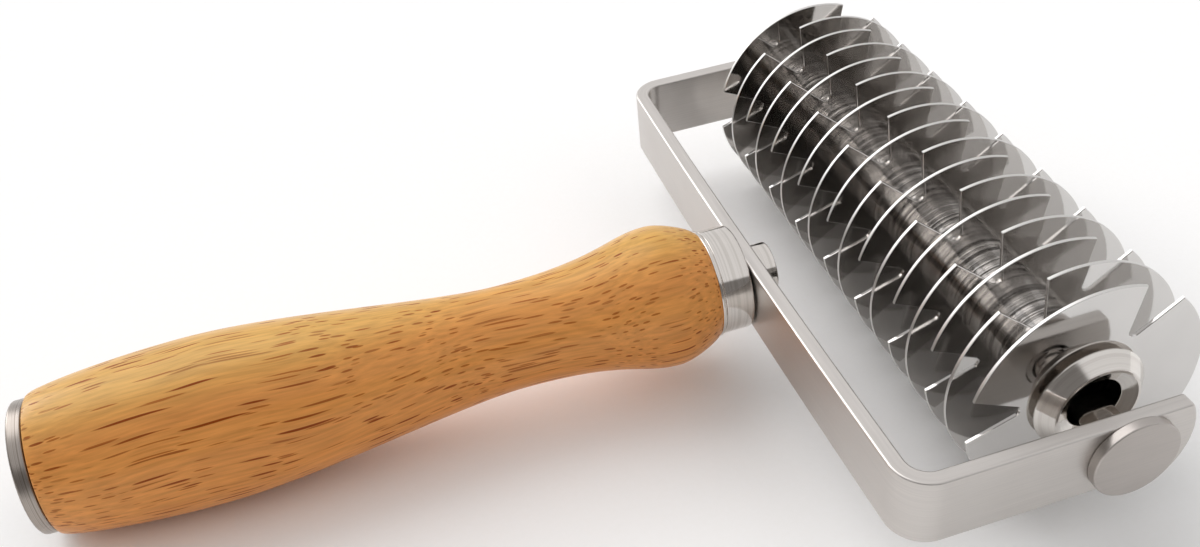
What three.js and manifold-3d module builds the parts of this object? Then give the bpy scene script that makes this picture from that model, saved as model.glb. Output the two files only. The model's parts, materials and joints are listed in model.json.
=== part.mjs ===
// Lattice roller cutter: a turned wooden handle, a bent steel frame and a roller of notched discs.
// Millimetres, +Z up. +X runs along the roller, +Y runs from the handle to the roller.
// The tool lies as it is put down on a table: on the rims of its discs and on the belly of its grip.
import * as THREE from 'three';
import { mergeVertices } from 'three/addons/utils/BufferGeometryUtils.js';
import Module from 'manifold-3d';

// Cutting discs
const DISC_COUNT = 17;
const DISC_PITCH = 7.05;
const DISC_RADIUS = 23.1;
const DISC_THICKNESS = 0.7;
const NOTCH_COUNT = 3;
const NOTCH_WIDTH = 9.6; // across the mouth, at the rim
const NOTCH_LAND = 4.6; // left between a spacer and the rounded bottom
const NOTCH_FILLET = 1.2;
const NOTCH_TURN_DEG = 57.2; // first notch of the first disc, from +Y towards +Z

// Core, spacers and end collars of the roller
const CORE_WALL = 1.2;
const SPACER_WALL = 1.5;
const COLLAR_LENGTH = 3.85;
const COLLAR_FLARE = 2.5; // how far its widest edge stands out from the spacers
const COLLAR_FLARE_PLACE = 0.9; // from the disc to that edge
const COLLAR_EDGE = 0.3;
const COLLAR_LIP = 0.5;
const COLLAR_DISH = 1.25; // depth of the dished front
const COLLAR_WEB = 0.6; // between the dish and the core's end

// Axle and its buttons
const AXLE_RADIUS = 3.2;
const AXLE_PLAY = 2.1; // radial room between the axle and the roller's bore
const BUTTON_RADIUS = 8.2;
const BUTTON_THICKNESS = 2;
const BUTTON_EDGE = 0.3;
const BUTTON_FACE = 2.3; // solid metal outside the axle's end
const BUTTON_SHANK_WALL = 1.2;

// Bent flat bar
const BAR_WIDTH = 14.5;
const BAR_THICKNESS = 3;
const BEND_RADIUS = 4; // inside the bends
const SIDE_GAP = 6.4; // from a collar to the arm beside it
const CROSSBAR_GAP = 16.2; // from the discs' rims to the middle of the crossbar
const CROSSBAR_BOW = 0.6; // the crossbar's ends come forward this far
const ARM_OVERHANG = 12.25; // from the axle to the end of an arm
const TIP_RADIUS = 13.75; // of the arc that ends an arm
const TIP_RISE = 1.2; // from the middle of the bar's width up to the arc's centre

// Ferrule, grip and end cap
const FERRULE_RADIUS = 10.7;
const FERRULE_LENGTH = 6.85;
const FERRULE_WALL = 1.2;
const FERRULE_FACE = 1.5;
const FERRULE_EDGE = 0.5;
const FERRULE_LIP = 0.3;
const FERRULE_LIP_WIDTH = 0.7;
const GRIP_LENGTH = 129.15;
const GRIP_SHOULDER = 0.35; // the wood stands out this far round the ferrule
const BULB_RADIUS = 14.4;
const BULB_FROM_FRONT = 8.85;
const WAIST_RADIUS = 10.45;
const WAIST_FROM_FRONT = 40.65;
const BELLY_RADIUS = 16.1;
const BELLY_FROM_REAR = 29.6;
const GRIP_REAR_RADIUS = 13.2;
const CAP_INSET = 0.5; // the cap lies this far inside the grip's rear edge
const CAP_THICKNESS = 2.7;
const CAP_EDGE = 0.4;
const CAP_FACE = 0.9; // solid metal behind the rod's end

// Shares of the stretches between the bulb, the waist and the belly along which the outline runs straight on
const FRONT_SWELL = 0.1;
const BULB_LEAD_IN = 0.22;
const BULB_LEAD_OUT = 0.25;
const WAIST_LEAD_IN = 0.67;
const WAIST_LEAD_OUT = 0.23;
const BELLY_LEAD_IN = 0.32;
const BELLY_LEAD_OUT = 0.47;
const REAR_SWELL = 0.34;

// Tang rod and the round boss on its front end
const ROD_RADIUS = 2.5;
const BOSS_WALL = 2.5;
const BOSS_LENGTH = 3.8;
const BOSS_FACE = 1.3; // solid metal in front of the rod's end
const BOSS_EDGE = 0.3;

// Clearances and facets
const FIT_GAP = 0.3; // between pieces fitted together
const RUNNING_GAP = 0.25; // where the axle bears in the roller's bore
const OUTLINE_STEPS = 5; // half the steps of each arc in an extruded outline
const ROUND_STEPS = 4 * OUTLINE_STEPS; // sides of the roller's tubes
const GRIP_SIDES = 28;
const GRIP_STEPS = 6; // steps along each curve of the grip's outline
const BUTTON_SIDES = 28;
const MERGE_DISTANCE = 1e-4; // corners closer than this are one

const POLISHED_STEEL = { color: 0xc8c5c1, roughness: 0.12, metalness: 1 };
const SATIN_STEEL = { color: 0xa8a29c, roughness: 0.4, metalness: 1 };
const TURNED_WOOD = { color: 0xc88a45, roughness: 0.5, metalness: 0 };

// Sizes that follow from the ones above
const BORE_RADIUS = AXLE_RADIUS + AXLE_PLAY;
const CORE_RADIUS = BORE_RADIUS + CORE_WALL;
const RING_BORE = CORE_RADIUS + FIT_GAP;
const SPACER_RADIUS = RING_BORE + SPACER_WALL;
const COLLAR_RADIUS = SPACER_RADIUS + COLLAR_FLARE;
const COLLAR_SOCKET = COLLAR_LENGTH - COLLAR_DISH - COLLAR_WEB;
const STACK_HALF = ((DISC_COUNT - 1) * DISC_PITCH + DISC_THICKNESS) / 2;
const ROLLER_LIFT = AXLE_PLAY - RUNNING_GAP; // the roller's centre lies this far above the axle's
const ARM_INSIDE = STACK_HALF + COLLAR_LENGTH + SIDE_GAP;
const ARM_OUTSIDE = ARM_INSIDE + BAR_THICKNESS;
const SHANK_RADIUS = AXLE_RADIUS + FIT_GAP + BUTTON_SHANK_WALL;
const BUTTON_SOCKET = BAR_THICKNESS + BUTTON_THICKNESS - BUTTON_FACE;
const CROSSBAR_FRONT = -(DISC_RADIUS + CROSSBAR_GAP);
const CROSSBAR_REAR = CROSSBAR_FRONT - BAR_THICKNESS;
const FERRULE_FRONT = CROSSBAR_REAR - FIT_GAP;
const GRIP_FRONT = FERRULE_FRONT - FERRULE_LENGTH - FIT_GAP;
const GRIP_FRONT_RADIUS = FERRULE_RADIUS + GRIP_SHOULDER;
const CAP_RADIUS = GRIP_REAR_RADIUS - CAP_INSET;
const CAP_SOCKET = CAP_THICKNESS - CAP_FACE;
const CAP_FRONT = GRIP_FRONT - GRIP_LENGTH - FIT_GAP;
const ROD_BORE = ROD_RADIUS + FIT_GAP;
const BOSS_REAR = CROSSBAR_FRONT + FIT_GAP;
const BOSS_SOCKET = BOSS_LENGTH - BOSS_FACE;

const wasm = await Module();
wasm.setup();

function toSolid(geometry) {
  const bare = geometry.clone();
  bare.deleteAttribute('normal');
  bare.deleteAttribute('uv');
  const merged = mergeVertices(bare, MERGE_DISTANCE);
  return new wasm.Manifold(new wasm.Mesh({
    numProp: 3,
    vertProperties: new Float32Array(merged.attributes.position.array),
    triVerts: new Uint32Array(merged.index.array),
  }));
}

function toGeometry(solid) {
  const mesh = solid.getMesh();
  const geometry = new THREE.BufferGeometry();
  geometry.setAttribute('position', new THREE.BufferAttribute(mesh.vertProperties, 3));
  geometry.setIndex(new THREE.BufferAttribute(mesh.triVerts, 1));
  geometry.computeVertexNormals();
  return geometry;
}

function piece(name, geometry, finish) {
  const mesh = new THREE.Mesh(geometry, new THREE.MeshStandardMaterial(finish));
  mesh.name = name;
  return mesh;
}

// A body of revolution about Y. Its outline is [radius, place along the axis], run anticlockwise.
function turned(outline, sides) {
  return new THREE.LatheGeometry(outline.map(([radius, place]) => new THREE.Vector2(radius, place)), sides);
}

// The same about X.
function turnedAlongX(outline, sides) {
  return turned(outline, sides).rotateZ(-Math.PI / 2);
}

function ring(inner, outer, from, to) {
  return [[inner, from], [outer, from], [outer, to], [inner, to], [inner, from]];
}

// An extrusion along X of a shape drawn with +Y to its right and +Z up, centred on X = 0.
function extrudedAlongX(shape, length, steps) {
  const options = { depth: length, bevelEnabled: false, curveSegments: steps };
  const geometry = new THREE.ExtrudeGeometry(shape, options);
  const axes = new THREE.Matrix4().makeBasis(
    new THREE.Vector3(0, 1, 0),
    new THREE.Vector3(0, 0, 1),
    new THREE.Vector3(1, 0, 0),
  );
  return geometry.translate(0, 0, -length / 2).applyMatrix4(axes);
}

function circleHole(radius) {
  const hole = new THREE.Path();
  hole.absarc(0, 0, radius, 0, Math.PI);
  hole.absarc(0, 0, radius, Math.PI, 2 * Math.PI);
  return hole;
}

// Cutting disc: rim arcs between V notches with rounded bottoms. The first notch opens along +Y.
function discGeometry() {
  const pitch = (2 * Math.PI) / NOTCH_COUNT;
  const halfMouth = Math.asin(NOTCH_WIDTH / 2 / DISC_RADIUS);
  const filletPlace = SPACER_RADIUS + NOTCH_LAND + NOTCH_FILLET;
  const mouthFromFillet = new THREE.Vector2(DISC_RADIUS * Math.cos(halfMouth) - filletPlace, NOTCH_WIDTH / 2);
  const tangent = mouthFromFillet.angle() + Math.acos(NOTCH_FILLET / mouthFromFillet.length());
  const outline = new THREE.Shape();
  for (let notch = 0; notch < NOTCH_COUNT; notch++) {
    const here = notch * pitch;
    const next = here + pitch;
    outline.absarc(0, 0, DISC_RADIUS, here + halfMouth, next - halfMouth);
    const x = filletPlace * Math.cos(next);
    const y = filletPlace * Math.sin(next);
    outline.absarc(x, y, NOTCH_FILLET, next - tangent, next + tangent, true);
  }
  outline.closePath();
  outline.holes.push(circleHole(RING_BORE));
  return extrudedAlongX(outline, DISC_THICKNESS, OUTLINE_STEPS);
}

function spacerGeometry() {
  const half = (DISC_PITCH - DISC_THICKNESS) / 2;
  return turnedAlongX(ring(RING_BORE, SPACER_RADIUS, -half, half), ROUND_STEPS);
}

function coreGeometry() {
  const half = STACK_HALF + COLLAR_SOCKET - FIT_GAP;
  return turnedAlongX(ring(BORE_RADIUS, CORE_RADIUS, -half, half), ROUND_STEPS);
}

// End collar: a sleeve over the core's end that flares out beside the last disc and narrows again
// to a thin lip round its dished front.
function collarGeometry() {
  return turnedAlongX([
    [RING_BORE, 0],
    [SPACER_RADIUS, 0],
    [COLLAR_RADIUS, COLLAR_FLARE_PLACE],
    [COLLAR_RADIUS, COLLAR_FLARE_PLACE + COLLAR_EDGE],
    [SPACER_RADIUS, COLLAR_LENGTH],
    [SPACER_RADIUS - COLLAR_LIP, COLLAR_LENGTH],
    [BORE_RADIUS, COLLAR_LENGTH - COLLAR_DISH],
    [BORE_RADIUS, COLLAR_SOCKET],
    [RING_BORE, COLLAR_SOCKET],
    [RING_BORE, 0],
  ], ROUND_STEPS);
}

function axleGeometry() {
  const half = ARM_INSIDE + BUTTON_SOCKET - FIT_GAP;
  return turnedAlongX([[0, -half], [AXLE_RADIUS, -half], [AXLE_RADIUS, half], [0, half]], ROUND_STEPS);
}

// Button: a flat round head against the arm's outer face and a hollow shank through the arm.
function buttonGeometry() {
  const socket = AXLE_RADIUS + FIT_GAP;
  const head = BAR_THICKNESS + BUTTON_THICKNESS;
  return turnedAlongX([
    [socket, 0],
    [SHANK_RADIUS, 0],
    [SHANK_RADIUS, BAR_THICKNESS],
    [BUTTON_RADIUS, BAR_THICKNESS],
    [BUTTON_RADIUS, head - BUTTON_EDGE],
    [BUTTON_RADIUS - BUTTON_EDGE, head],
    [0, head],
    [0, BUTTON_SOCKET],
    [socket, BUTTON_SOCKET],
    [socket, 0],
  ], BUTTON_SIDES);
}

// Frame: a flat bar on edge bent into a U with a slightly bowed crossbar. An arc ends each arm.
function frameGeometry() {
  const tip = ARM_OVERHANG;
  const bendOutside = BEND_RADIUS + BAR_THICKNESS;
  const bendX = ARM_OUTSIDE - bendOutside;
  const bendY = CROSSBAR_REAR + CROSSBAR_BOW + bendOutside;
  const plan = new THREE.Shape();
  plan.moveTo(-ARM_OUTSIDE, tip);
  plan.absarc(-bendX, bendY, bendOutside, Math.PI, 1.5 * Math.PI);
  plan.quadraticCurveTo(0, CROSSBAR_REAR - CROSSBAR_BOW, bendX, CROSSBAR_REAR + CROSSBAR_BOW);
  plan.absarc(bendX, bendY, bendOutside, 1.5 * Math.PI, 2 * Math.PI);
  plan.lineTo(ARM_OUTSIDE, tip);
  plan.lineTo(ARM_INSIDE, tip);
  plan.absarc(bendX, bendY, BEND_RADIUS, 0, -0.5 * Math.PI, true);
  plan.quadraticCurveTo(0, CROSSBAR_FRONT - CROSSBAR_BOW, -bendX, CROSSBAR_FRONT + CROSSBAR_BOW);
  plan.absarc(-bendX, bendY, BEND_RADIUS, -0.5 * Math.PI, -Math.PI, true);
  plan.lineTo(-ARM_INSIDE, tip);
  plan.closePath();
  const options = { depth: BAR_WIDTH, bevelEnabled: false, curveSegments: OUTLINE_STEPS };
  const bent = new THREE.ExtrudeGeometry(plan, options).translate(0, 0, -BAR_WIDTH / 2);

  const half = BAR_WIDTH / 2;
  const behind = CROSSBAR_REAR - BAR_THICKNESS;
  const side = new THREE.Shape();
  side.moveTo(behind, half);
  side.lineTo(behind, -half);
  const lowest = -Math.asin((half + TIP_RISE) / TIP_RADIUS);
  const highest = Math.asin((half - TIP_RISE) / TIP_RADIUS);
  side.absarc(tip - TIP_RADIUS, TIP_RISE, TIP_RADIUS, lowest, highest);
  side.closePath();
  side.holes.push(circleHole(SHANK_RADIUS + FIT_GAP));
  const profile = extrudedAlongX(side, 2 * (ARM_OUTSIDE + BAR_THICKNESS), 2 * OUTLINE_STEPS);

  const drill = new THREE.CylinderGeometry(ROD_BORE, ROD_BORE, 3 * BAR_THICKNESS, ROUND_STEPS);
  drill.translate(0, (CROSSBAR_FRONT + CROSSBAR_REAR) / 2, 0);
  return toGeometry(toSolid(bent).intersect(toSolid(profile)).subtract(toSolid(drill)));
}

// Ferrule: a cup over the grip's tenon, with a rounded front edge and a small lip against the wood.
function ferruleGeometry() {
  const inner = FERRULE_RADIUS - FERRULE_WALL;
  const lipOuter = FERRULE_RADIUS + FERRULE_LIP;
  return turned([
    [inner, -FERRULE_LENGTH],
    [lipOuter, -FERRULE_LENGTH],
    [lipOuter, FERRULE_LIP_WIDTH - FERRULE_LENGTH],
    [FERRULE_RADIUS, FERRULE_LIP_WIDTH - FERRULE_LENGTH],
    [FERRULE_RADIUS, -FERRULE_EDGE],
    [FERRULE_RADIUS - FERRULE_EDGE, 0],
    [ROD_BORE, 0],
    [ROD_BORE, -FERRULE_FACE],
    [inner, -FERRULE_FACE],
    [inner, -FERRULE_LENGTH],
  ], GRIP_SIDES);
}

// The grip's outline from its front shoulder to its rear edge, as [radius, distance from the front].
// Each curve leaves and meets the bulb, the waist and the belly along the axis.
function gripOutline() {
  const belly = GRIP_LENGTH - BELLY_FROM_REAR;
  const toWaist = WAIST_FROM_FRONT - BULB_FROM_FRONT;
  const toBelly = belly - WAIST_FROM_FRONT;
  const curves = [
    [
      [GRIP_FRONT_RADIUS, 0],
      [GRIP_FRONT_RADIUS + FRONT_SWELL * (BULB_RADIUS - GRIP_FRONT_RADIUS), 0],
      [BULB_RADIUS, (1 - BULB_LEAD_IN) * BULB_FROM_FRONT],
      [BULB_RADIUS, BULB_FROM_FRONT],
    ],
    [
      [BULB_RADIUS, BULB_FROM_FRONT],
      [BULB_RADIUS, BULB_FROM_FRONT + BULB_LEAD_OUT * toWaist],
      [WAIST_RADIUS, WAIST_FROM_FRONT - WAIST_LEAD_IN * toWaist],
      [WAIST_RADIUS, WAIST_FROM_FRONT],
    ],
    [
      [WAIST_RADIUS, WAIST_FROM_FRONT],
      [WAIST_RADIUS, WAIST_FROM_FRONT + WAIST_LEAD_OUT * toBelly],
      [BELLY_RADIUS, belly - BELLY_LEAD_IN * toBelly],
      [BELLY_RADIUS, belly],
    ],
    [
      [BELLY_RADIUS, belly],
      [BELLY_RADIUS, belly + BELLY_LEAD_OUT * BELLY_FROM_REAR],
      [GRIP_REAR_RADIUS + REAR_SWELL * (BELLY_RADIUS - GRIP_REAR_RADIUS), GRIP_LENGTH],
      [GRIP_REAR_RADIUS, GRIP_LENGTH],
    ],
  ];
  const points = curves.flatMap((corners) => {
    const curve = new THREE.CubicBezierCurve(...corners.map((corner) => new THREE.Vector2(...corner)));
    return curve.getPoints(GRIP_STEPS).slice(1);
  });
  return [new THREE.Vector2(GRIP_FRONT_RADIUS, 0), ...points];
}

// Grip: the turned outline with a bore for the rod and a tenon inside the ferrule.
function gripGeometry() {
  const tenon = FERRULE_RADIUS - FERRULE_WALL - FIT_GAP;
  const tenonTip = FERRULE_LENGTH - FERRULE_FACE;
  const skin = gripOutline().reverse().map((point) => [point.x, -point.y]);
  return turned([
    [ROD_BORE, -GRIP_LENGTH],
    ...skin,
    [tenon, 0],
    [tenon, tenonTip],
    [ROD_BORE, tenonTip],
    [ROD_BORE, -GRIP_LENGTH],
  ], GRIP_SIDES);
}

function capGeometry() {
  return turned([
    [0, -CAP_THICKNESS],
    [CAP_RADIUS - CAP_EDGE, -CAP_THICKNESS],
    [CAP_RADIUS, CAP_EDGE - CAP_THICKNESS],
    [CAP_RADIUS, 0],
    [ROD_BORE, 0],
    [ROD_BORE, -CAP_SOCKET],
    [0, -CAP_SOCKET],
  ], GRIP_SIDES);
}

function rodGeometry() {
  const front = BOSS_REAR + BOSS_SOCKET - FIT_GAP;
  const rear = CAP_FRONT - CAP_SOCKET + FIT_GAP;
  return turned([[0, rear], [ROD_RADIUS, rear], [ROD_RADIUS, front], [0, front]], ROUND_STEPS);
}

// Boss: a round cap over the rod's front end, against the crossbar.
function bossGeometry() {
  const radius = ROD_BORE + BOSS_WALL;
  return turned([
    [ROD_BORE, 0],
    [radius, 0],
    [radius, BOSS_LENGTH - BOSS_EDGE],
    [radius - BOSS_EDGE, BOSS_LENGTH],
    [0, BOSS_LENGTH],
    [0, BOSS_SOCKET],
    [ROD_BORE, BOSS_SOCKET],
    [ROD_BORE, 0],
  ], ROUND_STEPS);
}

function discName(index) {
  return `blade_${String(index + 1).padStart(2, '0')}`;
}

function buildRoller() {
  const roller = new THREE.Group();
  const blade = discGeometry();
  const spacer = spacerGeometry();
  const first = (-(DISC_COUNT - 1) * DISC_PITCH) / 2;
  const halfPitch = Math.PI / NOTCH_COUNT;
  for (let index = 0; index < DISC_COUNT; index++) {
    const disc = piece(discName(index), blade, POLISHED_STEEL);
    disc.position.x = first + index * DISC_PITCH;
    disc.rotation.x = THREE.MathUtils.degToRad(NOTCH_TURN_DEG) + (index % 2) * halfPitch;
    roller.add(disc);
  }
  for (let index = 0; index < DISC_COUNT - 1; index++) {
    const between = piece(`spacer_${String(index + 1).padStart(2, '0')}`, spacer, POLISHED_STEEL);
    between.position.x = first + (index + 0.5) * DISC_PITCH;
    roller.add(between);
  }
  roller.add(piece('roller_core', coreGeometry(), SATIN_STEEL));
  const right = piece('end_collar_right', collarGeometry(), POLISHED_STEEL);
  right.position.x = STACK_HALF;
  const left = piece('end_collar_left', collarGeometry(), POLISHED_STEEL);
  left.position.x = -STACK_HALF;
  left.rotation.z = Math.PI;
  roller.add(right, left);
  return roller;
}

function buildFrame() {
  const frame = new THREE.Group();
  const bar = piece('frame', frameGeometry(), SATIN_STEEL);
  const axle = piece('axle', axleGeometry(), POLISHED_STEEL);
  const right = piece('axle_button_right', buttonGeometry(), SATIN_STEEL);
  right.position.x = ARM_INSIDE;
  const left = piece('axle_button_left', buttonGeometry(), SATIN_STEEL);
  left.position.x = -ARM_INSIDE;
  left.rotation.z = Math.PI;
  frame.add(bar, axle, right, left);
  return frame;
}

function buildHandle() {
  const handle = new THREE.Group();
  const ferrule = piece('ferrule', ferruleGeometry(), POLISHED_STEEL);
  ferrule.position.y = FERRULE_FRONT;
  const grip = piece('handle_grip', gripGeometry(), TURNED_WOOD);
  grip.position.y = GRIP_FRONT;
  const cap = piece('end_cap', capGeometry(), SATIN_STEEL);
  cap.position.y = CAP_FRONT;
  const boss = piece('tang_boss', bossGeometry(), POLISHED_STEEL);
  boss.position.y = BOSS_REAR;
  handle.add(ferrule, grip, cap, boss, piece('tang_rod', rodGeometry(), SATIN_STEEL));
  return handle;
}

// The angle at which the grip comes down on the table that the discs stand on.
function restTilt() {
  const angles = gripOutline().map((point) => {
    const below = ROLLER_LIFT + point.x;
    const behind = point.y - GRIP_FRONT;
    return Math.atan2(behind, below) - Math.acos(DISC_RADIUS / Math.hypot(behind, below));
  });
  return Math.min(...angles);
}

const tool = new THREE.Group();
const carried = new THREE.Group();
carried.position.z = -ROLLER_LIFT;
carried.add(buildFrame(), buildHandle());
tool.add(buildRoller(), carried);
tool.rotation.x = restTilt();

// The origin lies on the table under the middle of the tool.
const bounds = new THREE.Box3().setFromObject(tool, true);
const middle = bounds.getCenter(new THREE.Vector3());
tool.position.set(-middle.x, -middle.y, -bounds.min.z);

const latticeRollerCutter = new THREE.Group();
latticeRollerCutter.add(tool);
latticeRollerCutter.updateMatrixWorld(true);

export default latticeRollerCutter;
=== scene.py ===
# %% [markdown]
# # A lattice roller cutter, dressed for a studio picture
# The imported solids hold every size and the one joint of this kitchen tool. Here each solid that
# shows gets a finer mesh in the same place, with soft edges, and a finish of its own: mirror steel,
# brushed steel and lacquered wood.

# %% Load the solids
import json
import math

import bmesh
import bpy
from mathutils import Matrix, Vector
from mathutils.geometry import interpolate_bezier


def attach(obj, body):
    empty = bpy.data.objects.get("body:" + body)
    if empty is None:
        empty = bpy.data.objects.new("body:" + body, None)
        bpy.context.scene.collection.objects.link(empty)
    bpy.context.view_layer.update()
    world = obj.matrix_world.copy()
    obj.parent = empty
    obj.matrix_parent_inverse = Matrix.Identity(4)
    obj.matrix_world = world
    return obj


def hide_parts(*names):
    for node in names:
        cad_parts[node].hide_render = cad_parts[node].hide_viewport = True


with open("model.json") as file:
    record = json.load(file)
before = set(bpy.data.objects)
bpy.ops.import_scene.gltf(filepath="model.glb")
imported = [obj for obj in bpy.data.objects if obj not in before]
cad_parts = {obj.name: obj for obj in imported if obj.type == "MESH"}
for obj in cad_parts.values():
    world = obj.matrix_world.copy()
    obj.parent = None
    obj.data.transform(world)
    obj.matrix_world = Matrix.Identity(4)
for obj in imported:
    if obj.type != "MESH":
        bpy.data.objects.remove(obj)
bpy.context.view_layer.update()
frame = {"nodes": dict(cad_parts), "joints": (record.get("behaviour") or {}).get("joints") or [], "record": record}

# %% [markdown]
# ## Where the tool lies
# The tool lies on a table, on the rims of its discs and on the belly of its grip, so its axis leans
# by about two degrees. Every outline below is drawn straight, in millimetres, from the middle of
# the roller, and one matrix lays it down. The joint gives the place and the cap's mount the lean.

# %% Place and lean
MM = 0.001
ROLLER_LIFT = 1.85  # the roller hangs loose, so its middle lies this far above the axle's
roller_place = Vector(frame["joints"][0]["pos_m"])
mounts = {mount["name"]: mount for mount in frame["record"]["mounts"]}
rearward = Vector(mounts["cap_face"]["axis"])
lean = math.atan2(-rearward.z, -rearward.y)
laid_down = Matrix.Translation(roller_place) @ Matrix.Rotation(lean, 4, "X")
roller_frame = laid_down @ Matrix.Scale(MM, 4)
carried_frame = roller_frame @ Matrix.Translation((0, 0, -ROLLER_LIFT))
lathe_along_axle = Matrix.Rotation(-math.pi / 2, 4, "Z")
print("lean in degrees:", round(math.degrees(lean), 3))

# %% [markdown]
# ## One way to add a node
# Every finish and every tree of nodes below is written with this one function. It makes a node,
# sets what the node does, and then fills its sockets: a socket of another node is linked, and
# anything else is a plain value. A second function turns the hex colours that people read off a
# screen into the linear colours that light is reckoned in.

# %% Node and colour helpers
def add(tree, kind, sockets=None, **settings):
    node = tree.nodes.new(kind)
    for name, value in settings.items():
        setattr(node, name, value)
    for name, value in (sockets or {}).items():
        if isinstance(value, bpy.types.NodeSocket):
            tree.links.new(value, node.inputs[name])
        else:
            node.inputs[name].default_value = value
    return node


def linear(hex_colour):
    channels = [int(hex_colour[place:place + 2], 16) / 255 for place in (1, 3, 5)]
    return [c / 12.92 if c <= 0.04045 else ((c + 0.055) / 1.055) ** 2.4 for c in channels] + [1]


print("mid grey is", round(linear("#808080")[0], 3))

# %% [markdown]
# ## Where a pattern sits
# A pattern in these finishes runs along the tool, so it is read in the tool's own straight axes.
# Object coordinates give the place on the table, and a Mapping node takes the lean off again.
# A mix of two colours uses the sockets that the Mix node keeps for colours.

# %% Start of a finish
MIX_A = 6
MIX_B = 7
MIX_RESULT = 2


def new_finish(name):
    material = bpy.data.materials.new(name)
    material.use_nodes = True
    tree = material.node_tree
    tree.nodes.clear()
    surface = add(tree, "ShaderNodeBsdfPrincipled")
    add(tree, "ShaderNodeOutputMaterial", {"Surface": surface.outputs["BSDF"]})
    here = add(tree, "ShaderNodeTexCoord")
    straight = add(tree, "ShaderNodeMapping", {
        "Vector": here.outputs["Object"],
        "Location": roller_place,
        "Rotation": (lean, 0, 0),
    }, vector_type="TEXTURE")
    return material, tree, surface, straight.outputs["Vector"]


# %% [markdown]
# ## Mirror-polished stainless steel
# The discs are cut from polished sheet. It mirrors a little hazily, and the haze lies in faint
# streaks along the way the sheet was rolled, drawn coarser than real ones so that they show. Light
# goes to and fro between the discs, so the steel has to be as bright as real polished steel, or the
# deep gaps would go black. The rim is a cut edge and duller than the faces, and the distance from
# the axis finds it.

# %% Sheet steel for the discs
STREAKS_PER_METRE = (2500, 2500, 160)  # 0.4 mm wide and about 6 mm long
SMEARS_PER_METRE = 90
NOISE_LOW = 0.3  # nearly all of a noise lies between this value and the next
NOISE_HIGH = 0.7
CUT_EDGE_START = 22.95 * MM  # distance from the axis
CUT_EDGE_END = 23.05 * MM
CUT_EDGE_HAZE = 0.4


def polished_sheet():
    material, tree, steel, place = new_finish("polished_stainless_sheet")
    rolled = add(tree, "ShaderNodeMapping", {"Vector": place, "Scale": STREAKS_PER_METRE})
    streaks = add(tree, "ShaderNodeTexNoise", {
        "Vector": rolled.outputs["Vector"],
        "Scale": 1,
        "Detail": 2,
    })
    haze = add(tree, "ShaderNodeMapRange", {
        "Value": streaks.outputs["Fac"],
        "From Min": NOISE_LOW,
        "From Max": NOISE_HIGH,
        "To Min": 0.04,
        "To Max": 0.09,
    })
    flat = add(tree, "ShaderNodeVectorMath", {0: place, 1: (0, 1, 1)}, operation="MULTIPLY")
    reach = add(tree, "ShaderNodeVectorMath", {0: flat.outputs["Vector"]}, operation="LENGTH")
    cut_edge = add(tree, "ShaderNodeMapRange", {
        "Value": reach.outputs["Value"],
        "From Min": CUT_EDGE_START,
        "From Max": CUT_EDGE_END,
        "To Max": CUT_EDGE_HAZE,
    })
    dull = add(tree, "ShaderNodeMath", {
        0: haze.outputs["Result"],
        1: cut_edge.outputs["Result"],
    }, operation="MAXIMUM")
    smear = add(tree, "ShaderNodeTexNoise", {"Vector": place, "Scale": SMEARS_PER_METRE, "Detail": 2})
    tone = add(tree, "ShaderNodeMix", {
        "Factor": smear.outputs["Fac"],
        MIX_A: linear("#d1cfcd"),
        MIX_B: linear("#dbd9d7"),
    }, data_type="RGBA")
    tree.links.new(tone.outputs[MIX_RESULT], steel.inputs["Base Color"])
    tree.links.new(dull.outputs["Value"], steel.inputs["Roughness"])
    steel.inputs["Metallic"].default_value = 1
    return material


SHEET = polished_sheet()
print("finish:", SHEET.name)

# %% [markdown]
# ## Turned steel
# The spacers, the collars, the axle, the ferrule, the boss and the cap came off a lathe. The tool
# left rings round the axis, which pull a highlight out into a streak. Each ring is also painted,
# lighter on its crest and darker in its groove, as painted highlight and painted shade. They are
# polished down to a trace on the collars, the axle, the ferrule and the boss, and the cap is satin.
# On the spacers they are drawn about 1 mm wide, coarser than real ones, with strong painted light
# and shade, so that they show between the discs. Rings need only one number, the place along the
# axis, so the noise is one-dimensional.

# %% Turned steel
SMUDGES_PER_METRE = 260
RING_GROOVE = 0.38  # values of the noise at the bottom of a groove and on the crest of a ring
RING_CREST = 0.55


def turned_steel(name, axis, ring_width, depth, light, dark, haze_low, haze_high):
    material, tree, steel, place = new_finish(name)
    along = add(tree, "ShaderNodeSeparateXYZ", {"Vector": place})
    scaled = add(tree, "ShaderNodeMath", {
        0: along.outputs[axis],
        1: 1 / ring_width,
    }, operation="MULTIPLY")
    rings = add(tree, "ShaderNodeTexNoise", {
        "W": scaled.outputs["Value"],
        "Scale": 1,
        "Detail": 4,
        "Roughness": 0.6,
    }, noise_dimensions="1D")
    ring_light_and_shade = add(tree, "ShaderNodeMapRange", {
        "Value": rings.outputs["Fac"],
        "From Min": RING_GROOVE,
        "From Max": RING_CREST,
    })
    # Painted highlight and shade: the crest of each ring is coloured lighter and its groove darker.
    tone = add(tree, "ShaderNodeMix", {
        "Factor": ring_light_and_shade.outputs["Result"],
        MIX_A: linear(dark),
        MIX_B: linear(light),
    }, data_type="RGBA")
    smudges = add(tree, "ShaderNodeTexNoise", {"Vector": place, "Scale": SMUDGES_PER_METRE, "Detail": 3})
    haze = add(tree, "ShaderNodeMapRange", {
        "Value": smudges.outputs["Fac"],
        "From Min": NOISE_LOW,
        "From Max": NOISE_HIGH,
        "To Min": haze_low,
        "To Max": haze_high,
    })
    bump = add(tree, "ShaderNodeBump", {"Height": rings.outputs["Fac"], "Distance": depth})
    tree.links.new(tone.outputs[MIX_RESULT], steel.inputs["Base Color"])
    tree.links.new(haze.outputs["Result"], steel.inputs["Roughness"])
    tree.links.new(bump.outputs["Normal"], steel.inputs["Normal"])
    steel.inputs["Metallic"].default_value = 1
    return material


# On the spacers the crests are painted near white and the grooves dark grey.
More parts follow.
